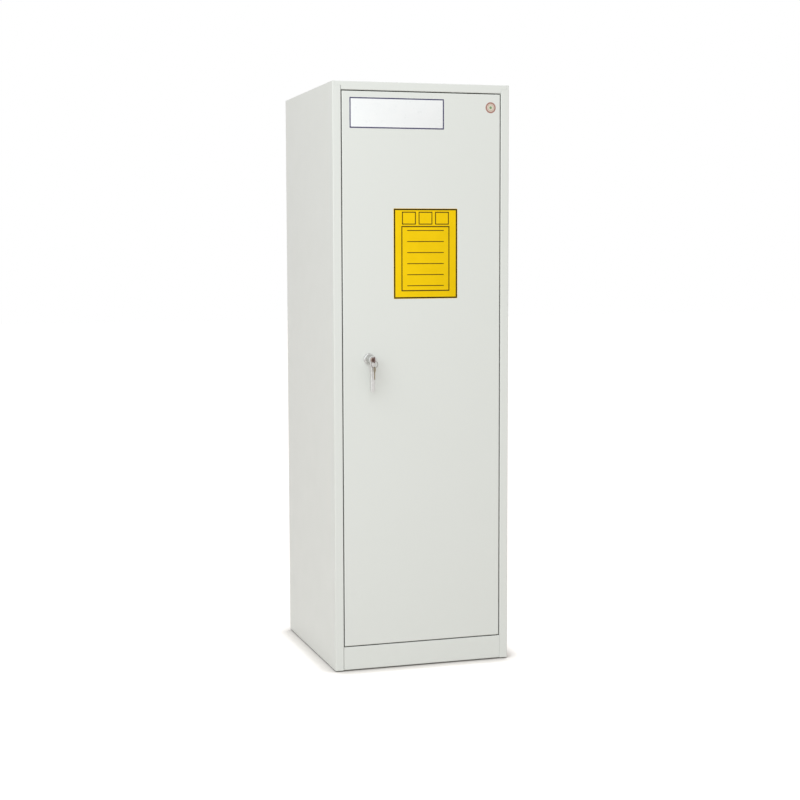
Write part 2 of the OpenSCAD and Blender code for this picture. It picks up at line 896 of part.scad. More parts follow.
// The ring turns round the middle of the bow's rim below the hole, and clears the rim's corners
ring_play = 0.1;
bow_edge = sqrt(bow_r * bow_r - hole_offset * hole_offset);
ring_pivot_z = lock_z - (bow_edge + bow_hole_r) / 2;
ring_hang = ring_r - ring_wire_r - ring_play - norm([key_t, bow_edge - bow_hole_r]) / 2;
ring_z = ring_pivot_z - ring_hang;

module key_ring() {
    color(chrome) translate([lock_x, front_y + hole_at, ring_z])
        rotate([90, 0, 0]) rotate_extrude() translate([ring_r, 0]) circle(ring_wire_r, $fn = 24);
}

// The second key hangs from the ring by the end of its bow, and turns round the middle of that end
bow_end = bow_r - hole_offset - bow_hole_r;
spare_pivot_z = ring_z - ring_r + ring_wire_r + ring_play + norm([key_t, bow_end]) / 2;
spare_bow_z = spare_pivot_z + bow_end / 2 - bow_r;

module spare_key() {
    color(chrome) translate([lock_x, front_y + hole_at, spare_bow_z]) rotate([-90, 0, 0]) key();
}

// ---------- Nodes ----------

left_side_panel();
right_side_panel();
back_panel();
roof_panel();
plinth_rail();
floor_pan();
foot_rails();
levelling_feet();
foot_lock_nuts();
spill_tray();
upright(upright_y[0]);  // upright_left_front
upright(upright_y[1]);  // upright_left_rear
mirror([1, 0, 0]) upright(upright_y[0]);  // upright_right_front
mirror([1, 0, 0]) upright(upright_y[1]);  // upright_right_rear
shelf(lower_slot);  // shelf_lower
shelf(middle_slot);  // shelf_middle
shelf(upper_slot);  // shelf_upper
shelf_clips(lower_slot);  // shelf_clips_lower
shelf_clips(middle_slot);  // shelf_clips_middle
shelf_clips(upper_slot);  // shelf_clips_upper
door_buffers();
pivot_bracket();  // pivot_bracket_top
turned_over() pivot_bracket();  // pivot_bracket_bottom
pivot_pin();  // pivot_pin_top
turned_over() pivot_pin();  // pivot_pin_bottom
pivot_washer();
door_skin();
door_inner_panel();
inner_panel_screws();
door_stiffener();
pivot_plate();  // pivot_plate_top
turned_over() pivot_plate();  // pivot_plate_bottom
pivot_bush();  // pivot_bush_top
turned_over() pivot_bush();  // pivot_bush_bottom
name_plate();
contents_card();
round_badge();
handle_rose();
lock_nut();
rod_guide(door_top - guide_inset);  // rod_guide_top
rod_guide((lock_z + door_top) / 2);  // rod_guide_upper
rod_guide((lock_z + door_bottom) / 2);  // rod_guide_lower
rod_guide(door_bottom + guide_inset);  // rod_guide_bottom
lever_handle();
handle_spindle();
rod_cam();
cam_screw();
lock_plug();
lock_key();
key_ring();
spare_key();
upper_rod();
lower_rod();
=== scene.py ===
import math

import bmesh
import bpy
from mathutils import Matrix, Vector


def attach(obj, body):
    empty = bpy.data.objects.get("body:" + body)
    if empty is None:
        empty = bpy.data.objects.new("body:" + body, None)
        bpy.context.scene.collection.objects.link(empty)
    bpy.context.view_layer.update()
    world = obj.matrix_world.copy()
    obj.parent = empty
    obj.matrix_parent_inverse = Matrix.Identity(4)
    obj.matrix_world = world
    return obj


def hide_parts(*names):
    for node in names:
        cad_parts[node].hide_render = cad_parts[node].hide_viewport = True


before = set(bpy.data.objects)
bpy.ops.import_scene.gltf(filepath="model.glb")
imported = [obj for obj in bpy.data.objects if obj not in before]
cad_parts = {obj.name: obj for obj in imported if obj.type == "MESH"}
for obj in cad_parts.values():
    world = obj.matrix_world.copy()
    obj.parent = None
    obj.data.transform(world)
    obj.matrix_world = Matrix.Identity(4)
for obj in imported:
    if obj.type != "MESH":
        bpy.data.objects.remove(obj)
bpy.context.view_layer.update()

scene = bpy.context.scene

# ---------- Camera ----------
# The camera stands in front of the cabinet and to its left, above the lock, and looks slightly
# down, close to where the photograph's edges and corners put it.
lens = bpy.data.cameras.new("camera")
lens.lens, lens.sensor_width = 66.55033, 36
lens.shift_x, lens.shift_y = 0.0875, -0.01
yaw, pitch, roll = (math.radians(angle) for angle in (15.86329, -4.89518, -0.38286))
ahead = Vector((math.sin(yaw) * math.cos(pitch), math.cos(yaw) * math.cos(pitch), math.sin(pitch)))
level = Vector((math.cos(yaw), -math.sin(yaw), 0))
above = level.cross(ahead)
across = math.cos(roll) * level + math.sin(roll) * above
upward = math.cos(roll) * above - math.sin(roll) * level
camera_place = Vector((-1.60244, -4.80112, 1.32042))
camera = bpy.data.objects.new("camera", lens)
camera.matrix_world = (Matrix.Translation(camera_place)
                       @ Matrix((across, upward, -ahead)).transposed().to_4x4())
scene.collection.objects.link(camera)
scene.camera = camera

# ---------- Floor, lamp and daylight ----------
# The cabinet stands on a plain white floor. One broad soft lamp shines from the front left, and
# white daylight comes from all round. The camera sees floor and daylight as white. Near the cabinet
# the floor's glow fades with ambient occlusion, which paints a contact shadow on the floor.


def put(tree, kind, inputs=None, **settings):
    made = tree.nodes.new("ShaderNode" + kind)
    for name, value in settings.items():
        setattr(made, name, value)
    for name, value in (inputs or {}).items():
        if isinstance(value, bpy.types.NodeSocket):
            tree.links.new(value, made.inputs[name])
        else:
            made.inputs[name].default_value = value
    return made


def speckled(tree, scale, detail=2.0):
    """Noise in the piece's own place, from 0 to 1."""
    place = put(tree, "TexCoord").outputs["Object"]
    return put(tree, "TexNoise", {"Vector": place, "Scale": scale, "Detail": detail}).outputs["Fac"]


def mixed(tree, amount, first, second):
    """A colour between two. Sockets 6, 7 and 2 are the ones that a Mix node has for colours."""
    return put(tree, "Mix", {"Factor": amount, 6: first, 7: second}, data_type="RGBA").outputs[2]


def seen_directly(tree):
    path = put(tree, "LightPath").outputs
    seen = put(tree, "Math", {0: path["Is Camera Ray"], 1: path["Is Glossy Ray"]}, operation="MAXIMUM")
    return put(tree, "Math", {0: seen.outputs[0], 1: path["Is Transmission Ray"]},
               operation="MAXIMUM").outputs[0]


def made_of(name, points, faces):
    """A new piece from corners in millimetres."""
    shape = bmesh.new()
    corners = [shape.verts.new(Vector(point) / 1000) for point in points]
    for face in faces:
        shape.faces.new([corners[i] for i in face])
    bmesh.ops.recalc_face_normals(shape, faces=shape.faces)
    mesh = bpy.data.meshes.new(name)
    shape.to_mesh(mesh)
    shape.free()
    piece = bpy.data.objects.new(name, mesh)
    scene.collection.objects.link(piece)
    return piece


floor_edge = 30000
floor = made_of("floor", [(x * floor_edge, y * floor_edge, 0) for x, y in (
    (-1, -1), (1, -1), (1, 1), (-1, 1))], [(0, 1, 2, 3)])
white_floor = bpy.data.materials.new("white_floor")
white_floor.use_nodes = True
tree = white_floor.node_tree
tree.nodes.clear()
tone = mixed(tree, speckled(tree, 60.0, 3.0), (0.72, 0.69, 0.66, 1), (0.75, 0.72, 0.69, 1))
matt = put(tree, "BsdfDiffuse", {"Color": tone})
# Ambient occlusion takes away the floor's glow close to the cabinet: a painted contact shadow.
open_sky = put(tree, "AmbientOcclusion", {"Distance": 0.075}, samples=6)
clear = put(tree, "MapRange", {"Value": open_sky.outputs["AO"], "From Min": 0.6, "From Max": 0.97,
                               "To Min": 0.0, "To Max": 0.64})
glow = put(tree, "Emission", {"Color": (1, 1, 1, 1), "Strength": put(
    tree, "Math", {0: seen_directly(tree), 1: clear.outputs[0]}, operation="MULTIPLY").outputs[0]})
both = put(tree, "AddShader", {0: matt.outputs[0], 1: glow.outputs[0]})
put(tree, "OutputMaterial", {"Surface": both.outputs[0]})
floor.data.materials.append(white_floor)

daylight = bpy.data.worlds.new("daylight")
daylight.use_nodes = True
tree = daylight.node_tree
tree.nodes.clear()
soft = put(tree, "Background", {"Color": (1.0, 0.963, 0.95, 1), "Strength": 0.62})
plain = put(tree, "Background", {"Color": (1, 1, 1, 1), "Strength": 1.0})
sky = put(tree, "MixShader", {0: seen_directly(tree), 1: soft.outputs[0], 2: plain.outputs[0]})
put(tree, "OutputWorld", {"Surface": sky.outputs[0]})
scene.world = daylight

softbox = bpy.data.lights.new("softbox", "AREA")
softbox.shape, softbox.size, softbox.energy = "SQUARE", 5.0, 160
softbox.color = (0.91, 0.99, 1.0)
lamp = bpy.data.objects.new("softbox", softbox)
lamp_place, lit_place = Vector((-2.5, -3.7, 3.6)), Vector((0, -0.2, 1.0))
lamp.matrix_world = Matrix.Translation(lamp_place) @ (
    lit_place - lamp_place).to_track_quat("-Z", "Y").to_matrix().to_4x4()
scene.collection.objects.link(lamp)
scene.view_settings.view_transform = "Standard"

# ---------- Body ----------
# The side walls, roof, plinth, floor pan and rails are cut and folded from steel sheet, spot-welded,
# and then powder coated as one body in a warm light grey. The coat has a fine orange peel, and
# shade is painted darker into the narrow gaps between the pieces.


def effect(name, inputs, outputs):
    """A shader group with its named sockets, and its two end nodes."""
    group = bpy.data.node_groups.new(name, "ShaderNodeTree")
    for label, kind, value in inputs:
        socket = group.interface.new_socket(label, in_out="INPUT", socket_type="NodeSocket" + kind)
        socket.default_value = value
    for label, kind in outputs:
        group.interface.new_socket(label, in_out="OUTPUT", socket_type="NodeSocket" + kind)
    return group, group.nodes.new("NodeGroupInput").outputs, group.nodes.new("NodeGroupOutput").inputs


def between(tree, amount, low, high):
    """A number that goes from low to high as the amount goes from 0.3 to 0.7, as noise does."""
    return put(tree, "MapRange", {"Value": amount, "From Min": 0.3, "From Max": 0.7,
                                  "To Min": low, "To Max": high}).outputs[0]


def finished(name, coat=0.0, **sockets):
    """A new material and its shader, with its plain numbers set on the shader's own sockets."""
    material = bpy.data.materials.new(name)
    material.use_nodes = True
    tree = material.node_tree
    shader = tree.nodes["Principled BSDF"]
    shader.inputs["Coat Weight"].default_value = coat
    for label, value in sockets.items():
        shader.inputs[label.replace("_", " ")].default_value = value
    return material, tree, shader.inputs


def raised(tree, shader, height, strength, depth):
    bump = put(tree, "Bump", {"Height": height, "Strength": strength, "Distance": depth})
    tree.links.new(bump.outputs[0], shader["Normal"])


powder_coat, given, out = effect(
    "powder_coat",
    [("Colour", "Color", (0.76, 0.755, 0.715, 1)), ("Thin Colour", "Color", (0.73, 0.725, 0.69, 1)),
     ("Painted Gap Shade", "Float", 0.0), ("Peel Scale", "Float", 650.0), ("Gloss", "Float", 0.4)],
    [("Colour", "Color"), ("Roughness", "Float"), ("Height", "Float")])
tree = powder_coat
cloud = speckled(tree, 2.2, 3.0)
peel = speckled(tree, 1.0, 2.0)
tree.links.new(given["Peel Scale"], peel.node.inputs["Scale"])
thin = between(tree, cloud, 0.0, 0.5)
coated = mixed(tree, thin, given["Colour"], given["Thin Colour"])
# Where the gap mask is high, the colour goes to near-black: this is painted shade in the narrow gaps between
# pieces.
tree.links.new(mixed(tree, given["Painted Gap Shade"], coated, (0.035, 0.03, 0.026, 1)), out["Colour"])
rough = put(tree, "Math", {0: given["Gloss"], 1: between(tree, speckled(tree, 14.0, 4.0), -0.04, 0.05)},
            operation="ADD")
tree.links.new(rough.outputs[0], out["Roughness"])
tree.links.new(peel, out["Height"])


def powder_coated(name, colour, thin_colour, gloss):
    material, tree, shader = finished(name)
    coat = put(tree, "Group", node_tree=powder_coat)
    for label, value in (("Colour", colour), ("Thin Colour", thin_colour), ("Gloss", gloss)):
        coat.inputs[label].default_value = value
    # Ambient occlusion within 9 mm finds the narrow gaps, and the mask made from it paints shade there.
    nook = put(tree, "AmbientOcclusion", {"Distance": 0.009}, samples=3)
    painted_gap_shade = put(tree, "MapRange", {"Value": nook.outputs["AO"], "From Min": 0.12, "From Max": 0.34,
                                   "To Min": 1.0, "To Max": 0.0})
    tree.links.new(painted_gap_shade.outputs[0], coat.inputs["Painted Gap Shade"])
    tree.links.new(coat.outputs["Colour"], shader["Base Color"])
    tree.links.new(coat.outputs["Roughness"], shader["Roughness"])
    raised(tree, shader, coat.outputs["Height"], 0.5, 0.0002)
    return material


def dress(material, *nodes):
    for name in nodes:
        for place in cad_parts[name].material_slots:
            place.material = material


light_grey = powder_coated("light_grey_coat", (0.768, 0.783, 0.752, 1), (0.755, 0.769, 0.737, 1), 0.42)
dress(light_grey, "left_side_panel", "right_side_panel", "roof_panel", "plinth_rail", "floor_pan",
      "foot_rails")

# ---------- Back panel ----------
# The back is one flat sheet with two fields of vent slots and two holes for wall anchors. It is
# coated like the body, and is welded in front of the side walls' flanges.
dress(light_grey, "back_panel")

# ---------- Feet ----------
# Four levelling feet of zinc-plated steel screw into nuts welded in the foot rails, and each is held
# by a lock nut. Their pads carry the cabinet just clear of the floor.
zinc_plate, given, out = effect(
    "zinc_plate",
    [("Colour", "Color", (0.62, 0.63, 0.65, 1)), ("Haze Colour", "Color", (0.66, 0.63, 0.55, 1)),
     ("Gloss", "Float", 0.34)],
    [("Colour", "Color"), ("Roughness", "Float"), ("Height", "Float")])
tree = zinc_plate
haze = between(tree, speckled(tree, 45.0, 4.0), 0.0, 0.8)
tree.links.new(mixed(tree, haze, given["Colour"], given["Haze Colour"]), out["Colour"])
rough = put(tree, "Math", {0: given["Gloss"], 1: between(tree, speckled(tree, 160.0, 5.0), -0.06, 0.12)},
            operation="ADD")
tree.links.new(rough.outputs[0], out["Roughness"])
tree.links.new(speckled(tree, 1100.0, 2.0), out["Height"])


def zinc_plated(name, colour, haze_colour, gloss):
    material, tree, shader = finished(name, Metallic=1.0)
    plate = put(tree, "Group", node_tree=zinc_plate)
    for label, value in (("Colour", colour), ("Haze Colour", haze_colour), ("Gloss", gloss)):
        plate.inputs[label].default_value = value
    tree.links.new(plate.outputs["Colour"], shader["Base Color"])
    tree.links.new(plate.outputs["Roughness"], shader["Roughness"])
    raised(tree, shader, plate.outputs["Height"], 0.2, 0.0001)
    return material


bright_zinc = zinc_plated("bright_zinc", (0.62, 0.63, 0.65, 1), (0.66, 0.64, 0.58, 1), 0.34)
dress(bright_zinc, "levelling_feet", "foot_lock_nuts")

# ---------- Spill tray ----------
# A loose tray of dark grey polypropylene lies on the floor pan and catches what a broken bottle
# spills. It is moulded in one piece, with round corners, sloping walls and a thick rim.


def arc(u, w, radius, start, end, steps=5):
    """Points on part of a circle, by angles in degrees."""
    turns = [math.radians(start + (end - start) * i / steps) for i in range(steps + 1)]
    return [(u + radius * math.cos(turn), w + radius * math.sin(turn)) for turn in turns]


def flat_on(u, v, w):
    return u, v, w


def ringed(name, low, high, corner, profile, place=flat_on, steps=6):
    """A closed piece whose sections are rounded rectangles. Each point of the profile gives how far
    its section lies inside the outline, and how high."""
    points, faces = [], []
    for inset, height in profile:
        r = max(corner - inset, 0.05)
        middles = ((high[0] - inset - r, high[1] - inset - r), (low[0] + inset + r, high[1] - inset - r),
                   (low[0] + inset + r, low[1] + inset + r), (high[0] - inset - r, low[1] + inset + r))
        for quarter, (u, v) in enumerate(middles):
            points += [place(a, b, height) for a, b in arc(u, v, r, 90 * quarter, 90 * quarter + 90, steps)]
    count = 4 * (steps + 1)
    for ring in range(len(profile) - 1):
        for i in range(count):
            j = (i + 1) % count
            faces.append((ring * count + i, ring * count + j, (ring + 1) * count + j, (ring + 1) * count + i))
    faces += [tuple(range(count)), tuple(range((len(profile) - 1) * count, len(profile) * count))]
    return made_of(name, points, faces)


def smoothed(piece, angle=35):
    """Shades the piece smooth, apart from edges sharper than the angle."""
    for face in piece.data.polygons:
        face.use_smooth = True
    piece.data.set_sharp_from_angle(angle=math.radians(angle))
    return piece


def stands_for(piece, body, slot, material, *nodes):
    piece.data.materials.clear()
    piece.data.materials.append(material)
    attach(piece, body)
    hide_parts(*nodes)
    return piece


moulded, given, out = effect(
    "moulded_plastic",
    [("Colour", "Color", (0.08, 0.085, 0.09, 1)), ("Pale Colour", "Color", (0.1, 0.105, 0.11, 1)),
     ("Gloss", "Float", 0.5), ("Grain Scale", "Float", 900.0)],
    [("Colour", "Color"), ("Roughness", "Float"), ("Height", "Float")])
tree = moulded
paleness = between(tree, speckled(tree, 25.0, 4.0), 0.0, 1.0)
tree.links.new(mixed(tree, paleness, given["Colour"], given["Pale Colour"]), out["Colour"])
rough = put(tree, "Math", {0: given["Gloss"], 1: between(tree, speckled(tree, 90.0, 4.0), -0.06, 0.08)},
            operation="ADD")
tree.links.new(rough.outputs[0], out["Roughness"])
grain = speckled(tree, 1.0, 3.0)
tree.links.new(given["Grain Scale"], grain.node.inputs["Scale"])
tree.links.new(grain, out["Height"])


def moulded_in(name, colour, pale_colour, gloss, grain_scale, relief=0.3, **sockets):
    material, tree, shader = finished(name, **sockets)
    plastic = put(tree, "Group", node_tree=moulded)
    for label, value in (("Colour", colour), ("Pale Colour", pale_colour), ("Gloss", gloss),
                         ("Grain Scale", grain_scale)):
        plastic.inputs[label].default_value = value
    tree.links.new(plastic.outputs["Colour"], shader["Base Color"])
    tree.links.new(plastic.outputs["Roughness"], shader["Roughness"])
    raised(tree, shader, plastic.outputs["Height"], relief, 0.00015)
    return material


tray_plastic = moulded_in("tray_plastic", (0.075, 0.083, 0.09, 1), (0.095, 0.103, 0.11, 1), 0.48, 1300.0)
tray_half, tray_front, tray_rear, tray_corner = 292.8, -228.5, 325.9, 12
tray_low, tray_rim = 41.2, 86.2
tray = ringed("tray_of_polypropylene", (-tray_half, tray_front), (tray_half, tray_rear), tray_corner, [
    (20, tray_low), *arc(8, tray_low + 6, 6, -90, -180), (1.2, tray_low + 26),
    *arc(1.2, tray_rim - 1.2, 1.2, 180, 90, 3), *arc(4.0, tray_rim - 1.0, 1.0, 90, 0, 3),
    (5.0, tray_rim - 5), (4.0, tray_rim - 6.5), (5.0, tray_low + 14),
    *arc(11, tray_low + 9, 6, 180, 270), (30, tray_low + 3)])
stands_for(smoothed(tray), "frame", "tray_plastic", tray_plastic, "spill_tray")

# ---------- Uprights ----------
# Four channels with a row of slots are folded from sheet and welded to the side walls, one pair near
# the front and one near the back. They are coated with the body.
dress(light_grey, "upright_left_front", "upright_left_rear", "upright_right_front", "upright_right_rear")

# ---------- Shelves ----------
# Each shelf is a shallow pan of steel sheet with its edges bent up to hold a spill, and its rim
# hemmed inwards so that it isn't sharp. It lies loose on four zinc-plated clips.
sheet, fold, shelf_rise, shelf_corner = 1.2, 3.2, 30, 5
shelf_low, shelf_high = (-279.8, -190.5), (279.8, 304.9)
for level_name, low in (("lower", 503.5), ("middle", 953.5), ("upper", 1403.5)):
    rim = low + shelf_rise
    shelf = ringed("shelf_pan_" + level_name, shelf_low, shelf_high, shelf_corner, [
        (20, low), *arc(fold, low + fold, fold, -90, -180), (0, low + 18),
        *arc(sheet, rim - sheet, sheet, 180, 0, 6), (2 * sheet, rim - 8), (sheet, rim - 8.4),
        *arc(fold, low + fold, fold - sheet, 180, 270), (20, low + sheet)])
    stands_for(smoothed(shelf), "frame", "body_paint", light_grey, "shelf_" + level_name)
    dress(bright_zinc, "shelf_clips_" + level_name)

# ---------- Buffers and pivots ----------
# Three rubber buffers on the stop lip take the door's edge. The door turns on two steel pins in
# brackets behind the header and the plinth, in nylon bushes that plates hold inside the door.
black_rubber = moulded_in("black_rubber", (0.02, 0.02, 0.021, 1), (0.032, 0.032, 0.033, 1), 0.62, 1500.0)
dress(black_rubber, "door_buffers")
grey_nylon = moulded_in("grey_nylon", (0.1, 0.1, 0.1, 1), (0.13, 0.13, 0.13, 1), 0.42, 1200.0, 0.15)
dress(grey_nylon, "pivot_washer", "pivot_bush_top", "pivot_bush_bottom")
white_nylon = moulded_in("white_nylon", (0.72, 0.71, 0.65, 1), (0.76, 0.75, 0.7, 1), 0.4, 1200.0, 0.15,
                         Subsurface_Weight=0.1, Subsurface_Scale=0.002)
dress(white_nylon, "rod_guide_top", "rod_guide_upper", "rod_guide_lower", "rod_guide_bottom")
dull_zinc = zinc_plated("dull_zinc", (0.26, 0.25, 0.23, 1), (0.2, 0.19, 0.165, 1), 0.48)
dress(dull_zinc, "pivot_bracket_top", "pivot_bracket_bottom", "pivot_pin_top", "pivot_pin_bottom",
      "pivot_plate_top", "pivot_plate_bottom")

# ---------- Door ----------
# The door's front, edges and rear lips are folded from one sheet. An inner panel is screwed on its
# back, and a hat channel is glued inside. All are coated like the body.
dress(light_grey, "door_skin", "door_inner_panel", "door_stiffener")

# ---------- Screws of the inner panel ----------
# Ten zinc-plated pan-head screws with a cross recess hold the inner panel to the door's rear lips.


def turned(name, profile, middle=(0, 0), closed=False, steps=72):
    """A piece turned about a line along Y. The profile gives (y, radius), and a closed one is a tube."""
    points, faces, rings = [], [], []
    for y, radius in profile:
        if radius == 0:
            rings.append([len(points)] * steps)
            points.append((middle[0], y, middle[1]))
        else:
            rings.append(list(range(len(points), len(points) + steps)))
            points += [(middle[0] + a, y, middle[1] + b) for a, b in arc(0, 0, radius, 0, 360, steps)[:-1]]
    pairs = list(zip(rings, rings[1:])) + ([(rings[-1], rings[0])] if closed else [])
    for one, two in pairs:
        for i in range(steps):
            j = (i + 1) % steps
            face = [one[i], one[j], two[j], two[i]]
            face = [corner for k, corner in enumerate(face) if corner not in face[:k]]
            if len(face) > 2:
                faces.append(face)
    return made_of(name, points, faces)


def boxes(name, *corners):
    """Plain blocks between pairs of corners, to cut a piece with."""
    points, faces = [], []
    for low, high in corners:
        first = len(points)
        points += [(x, y, z) for x in (low[0], high[0]) for y in (low[1], high[1]) for z in (low[2], high[2])]
        faces += [tuple(first + i for i in face) for face in (
            (0, 1, 3, 2), (4, 6, 7, 5), (0, 4, 5, 1), (2, 3, 7, 6), (0, 2, 6, 4), (1, 5, 7, 3))]
    return made_of(name, points, faces)


def settled(piece):
    """Turns the piece's modifiers into its own shape."""
    bpy.context.view_layer.update()
    shape = bpy.data.meshes.new_from_object(piece.evaluated_get(bpy.context.evaluated_depsgraph_get()))
    piece.modifiers.clear()
    piece.data = shape
    return piece


def cut_with(piece, cutter):
    cut = piece.modifiers.new("cut", "BOOLEAN")
    cut.operation, cut.solver, cut.object = "DIFFERENCE", "EXACT", cutter
    settled(piece)
    bpy.data.objects.remove(cutter)
    return piece


def joined(name, pieces):
    """One piece from the shapes of several, which are used up."""
    whole = bmesh.new()
    for piece in pieces:
        piece.data.transform(piece.matrix_world)
        whole.from_mesh(piece.data)
        bpy.data.objects.remove(piece)
    mesh = bpy.data.meshes.new(name)
    whole.to_mesh(mesh)
    whole.free()
    piece = bpy.data.objects.new(name, mesh)
    scene.collection.objects.link(piece)
    return piece


panel_back, head_r, head_rise = -239.5, 3.6, 1.4
head = turned("screw_head", [
    (panel_back, 0), (panel_back, head_r), (panel_back + 0.5, head_r), (panel_back + 0.9, 3.3),
    (panel_back + 1.2, 2.6), (panel_back + head_rise, 1.4), (panel_back + head_rise, 0)], steps=28)
thin, arm = 0.45, 1.9
cut_with(head, boxes("cross_upright", ((-thin, panel_back + 0.5, -arm), (thin, panel_back + 3, arm))))
cut_with(head, boxes("cross_level", ((-arm, panel_back + 0.55, -thin), (arm, panel_back + 3.1, thin))))
screw_x, door_middle, screw_pitch = 0.2475, 0.9765, 0.42825
heads = []
for side in (-1, 1):
    for step in range(-2, 3):
        copy = head.copy()
        copy.data = head.data.copy()
        copy.matrix_world = (Matrix.Translation((side * screw_x, 0, door_middle + step * screw_pitch))
                             @ Matrix.Rotation(0.7 * step + side, 4, "Y"))
        scene.collection.objects.link(copy)
        heads.append(copy)
bpy.data.objects.remove(head)
bpy.context.view_layer.update()
screws = joined("inner_panel_pan_heads", heads)
stands_for(smoothed(screws), "door", "zinc_steel", bright_zinc, "inner_panel_screws")

# ---------- Name plate ----------
# A blank white plastic plate with a thin dark blue line round its edge is stuck on the door near the
# top. Its face is semi-gloss, and its edges are just broken.


def on_the_door(u, v, w):
    return u, w, v


printed_frame, given, out = effect(
    "printed_frame",
    [("Middle X", "Float", 0.0), ("Middle Z", "Float", 0.0), ("Half Width", "Float", 0.1),
     ("Half Height", "Float", 0.1), ("Line", "Float", 0.002)],
    [("Mask", "Float")])
tree = printed_frame
place = put(tree, "SeparateXYZ", {0: put(tree, "TexCoord").outputs["Object"]}).outputs
reach = []
for along, middle, half in (("X", "Middle X", "Half Width"), ("Z", "Middle Z", "Half Height")):
    off = put(tree, "Math", {0: place[along], 1: given[middle]}, operation="SUBTRACT")
    away = put(tree, "Math", {0: off.outputs[0]}, operation="ABSOLUTE")
    reach.append(put(tree, "Math", {0: away.outputs[0], 1: given[half]}, operation="SUBTRACT").outputs[0])
edge = put(tree, "Math", {0: reach[0], 1: reach[1]}, operation="MAXIMUM")
width = put(tree, "Math", {0: given["Line"], 1: 0.5}, operation="MULTIPLY")
line = put(tree, "Math", {0: edge.outputs[0], 1: 0.0, 2: width.outputs[0]}, operation="COMPARE")
tree.links.new(line.outputs[0], out["Mask"])


def framed(tree, middle_x, middle_z, half_width, half_height, line):
    mask = put(tree, "Group", node_tree=printed_frame)
    for label, value in (("Middle X", middle_x), ("Middle Z", middle_z), ("Half Width", half_width),
                         ("Half Height", half_height), ("Line", line)):
        mask.inputs[label].default_value = value / 1000
    return mask.outputs["Mask"]


def bordered(tree, low, high, inset, line):
    """A printed line that runs round inside the edge of a label."""
    return framed(tree, (low[0] + high[0]) / 2, (low[1] + high[1]) / 2,
                  (high[0] - low[0]) / 2 - inset, (high[1] - low[1]) / 2 - inset, line)


def greatest(tree, masks):
    total = masks[0]
    for mask in masks[1:]:
        total = put(tree, "Math", {0: total, 1: mask}, operation="MAXIMUM").outputs[0]
    return total


door_face = -265.7
label_edge = [(0, door_face), (0, door_face - 0.35), (0.1, door_face - 0.52), (0.3, door_face - 0.6)]
plate_low, plate_high = (-244, 1753.5), (74, 1850.5)
name_plate = ringed("blank_name_plate", plate_low, plate_high, 2.5, label_edge, on_the_door)
plate_print, tree, shader = finished("white_plate_with_blue_line")
paper = speckled(tree, 30.0, 3.0)
white = mixed(tree, between(tree, paper, 0.0, 1.0), (0.9, 0.91, 0.92, 1), (0.92, 0.925, 0.93, 1))
border = bordered(tree, plate_low, plate_high, 2.2, 4.0)
tree.links.new(mixed(tree, border, white, (0.035, 0.03, 0.11, 1)), shader["Base Color"])
tree.links.new(between(tree, speckled(tree, 60.0, 3.0), 0.26, 0.34), shader["Roughness"])
raised(tree, shader, speckled(tree, 400.0, 2.0), 0.1, 0.0001)
stands_for(smoothed(name_plate), "door", "white_plate", plate_print, "name_plate")

# ---------- Contents card ----------
# A yellow laminated card for notes on what the cabinet holds is stuck on the middle of the door. It
# has a dark edge, a framed field of six ruled lines, and three small empty boxes above them.
ruled_lines, given, out = effect(
    "ruled_lines",
    [("First Line", "Float", 1.25), ("Pitch", "Float", 0.03), ("Count", "Float", 6.0),
     ("From X", "Float", 0.0), ("To X", "Float", 0.1), ("Line", "Float", 0.001)],
    [("Mask", "Float")])
tree = ruled_lines
place = put(tree, "SeparateXYZ", {0: put(tree, "TexCoord").outputs["Object"]}).outputs
rise = put(tree, "Math", {0: place["Z"], 1: given["First Line"]}, operation="SUBTRACT")
steps_up = put(tree, "Math", {0: rise.outputs[0], 1: given["Pitch"]}, operation="DIVIDE")
nearest = put(tree, "Math", {0: steps_up.outputs[0]}, operation="ROUND")
past = put(tree, "Math", {0: steps_up.outputs[0], 1: nearest.outputs[0]}, operation="SUBTRACT")
past = put(tree, "Math", {0: past.outputs[0], 1: given["Pitch"]}, operation="MULTIPLY")
width = put(tree, "Math", {0: given["Line"], 1: 0.5}, operation="MULTIPLY")
on_line = put(tree, "Math", {0: past.outputs[0], 1: 0.0, 2: width.outputs[0]}, operation="COMPARE")
above_first = put(tree, "Math", {0: nearest.outputs[0], 1: -0.5}, operation="GREATER_THAN")
last = put(tree, "Math", {0: given["Count"], 1: 0.5}, operation="SUBTRACT")
below_last = put(tree, "Math", {0: nearest.outputs[0], 1: last.outputs[0]}, operation="LESS_THAN")
past_left = put(tree, "Math", {0: place["X"], 1: given["From X"]}, operation="GREATER_THAN")
before_right = put(tree, "Math", {0: place["X"], 1: given["To X"]}, operation="LESS_THAN")
mask = on_line.outputs[0]
for limit in (above_first, below_last, past_left, before_right):
    mask = put(tree, "Math", {0: mask, 1: limit.outputs[0]}, operation="MULTIPLY").outputs[0]
tree.links.new(mask, out["Mask"])

card_low, card_high = (-98, 1211), (120, 1501)
contents_card = ringed("ruled_contents_card", card_low, card_high, 2.5, label_edge, on_the_door)
card_print, tree, shader = finished("yellow_card_with_lines", Specular_IOR_Level=0.06)
yellow = mixed(tree, between(tree, speckled(tree, 22.0, 3.0), 0.0, 1.0),
               (0.91, 0.6, 0.004, 1), (0.95, 0.63, 0.005, 1))
lines = put(tree, "Group", node_tree=ruled_lines)
for label, value in (("First Line", 1.253), ("Pitch", 0.0355), ("Count", 6.0), ("From X", -0.052),
                     ("To X", 0.073), ("Line", 0.0026)):
    lines.inputs[label].default_value = value
middle_x, field_z, field_half, field_rise = 10.5, 1340, 80.5, 103
box_z, box_half, box_rise, box_pitch = 1470, 22, 19, 56.5
marks = [bordered(tree, card_low, card_high, 3.2, 4.6),
         framed(tree, middle_x, field_z, field_half, field_rise, 3.4), lines.outputs["Mask"]]
